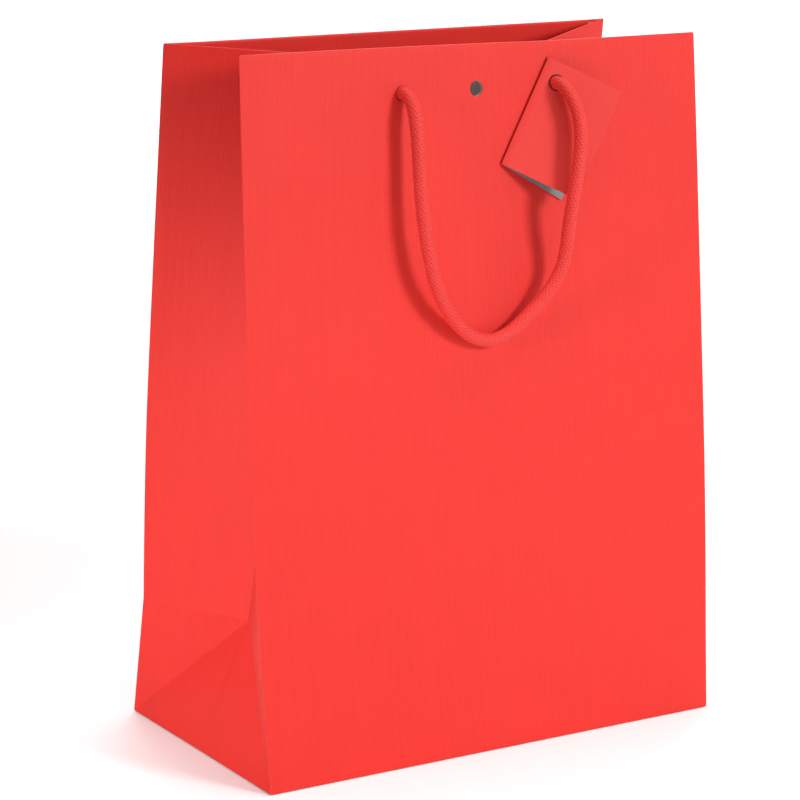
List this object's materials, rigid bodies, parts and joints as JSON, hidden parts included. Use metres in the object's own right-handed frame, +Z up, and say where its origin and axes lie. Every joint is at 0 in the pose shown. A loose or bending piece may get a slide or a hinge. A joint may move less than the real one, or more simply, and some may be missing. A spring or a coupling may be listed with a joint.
{
  "type": "gift bag",
  "caption": "Tall paper gift bag with tucked side gussets, turned-over reinforced mouth, soft rope handles and a folded tag threaded on the front handle.",
  "frame": {"origin": "centre of the base, on the surface the bag stands on", "axes": "+Z up; the front panel, which carries the tag, faces -Y; +X is to the right seen from the front"},
  "size_m": [0.25, 0.1424, 0.336],
  "materials": {
    "red_paper": "matt fine-ribbed coloured paper",
    "hem_board": "grey board",
    "base_board": "white-lined grey board",
    "cord": "knitted polyester rope",
    "tag_card": "matt card, white inside"
  },
  "bodies": {
    "base": {"base_flap_front": "red_paper", "base_flap_back": "red_paper", "base_flap_left": "red_paper", "base_flap_right": "red_paper", "base_board": "base_board", "left_gusset_base_facet": "red_paper", "left_gusset_back_facet": "red_paper", "left_gusset_front_facet": "red_paper", "right_gusset_base_facet": "red_paper", "right_gusset_back_facet": "red_paper", "right_gusset_front_facet": "red_paper"},
    "front_side": {"front_panel": "red_paper", "front_hem": "red_paper", "front_hem_board": "hem_board", "left_gusset_front_half": "red_paper", "left_gusset_front_hem": "red_paper", "right_gusset_front_half": "red_paper", "right_gusset_front_hem": "red_paper", "front_knot_left": "cord", "front_knot_right": "cord"},
    "back_side": {"back_panel": "red_paper", "back_hem": "red_paper", "back_hem_board": "hem_board", "left_gusset_back_half": "red_paper", "left_gusset_back_hem": "red_paper", "right_gusset_back_half": "red_paper", "right_gusset_back_hem": "red_paper", "side_seam_lap": "red_paper", "back_knot_left": "cord", "back_knot_right": "cord"},
    "front_handle": {"front_handle_cord": "cord"},
    "back_handle": {"back_handle_cord": "cord"},
    "tag": {"tag_back_leaf": "tag_card"},
    "tag_cover": {"tag_front_leaf": "tag_card"}
  },
  "joints": [
    {"name": "front_side_open", "type": "hinge", "parent": "base", "child": "front_side", "pos_m": [0, -0.0698, 0.0003], "axis": [1, 0, 0], "range_deg": [0, 4]},
    {"name": "back_side_open", "type": "hinge", "parent": "base", "child": "back_side", "pos_m": [0, 0.0698, 0.0003], "axis": [-1, 0, 0], "range_deg": [0, 4]},
    {"name": "front_handle_swing", "type": "hinge", "parent": "front_side", "child": "front_handle", "pos_m": [0, -0.04711, 0.31629], "axis": [-1, 0, 0], "range_deg": [0, 165], "deforming": ["front_handle_cord"]},
    {"name": "back_handle_swing", "type": "hinge", "parent": "back_side", "child": "back_handle", "pos_m": [0, 0.03694, 0.31649], "axis": [1, 0, 0], "range_deg": [0, 165], "deforming": ["back_handle_cord"]},
    {"name": "tag_swivel", "type": "hinge", "parent": "front_side", "child": "tag", "pos_m": [0.0415, -0.04502, 0.31613], "axis": [0, -0.9971, 0.076], "range_deg": [-55, 55]},
    {"name": "tag_cover_open", "type": "hinge", "parent": "tag", "child": "tag_cover", "pos_m": [0.0389, -0.04471, 0.32874], "axis": [-0.5015, -0.0658, -0.8626], "range_deg": [-20, 30]}
  ]
}
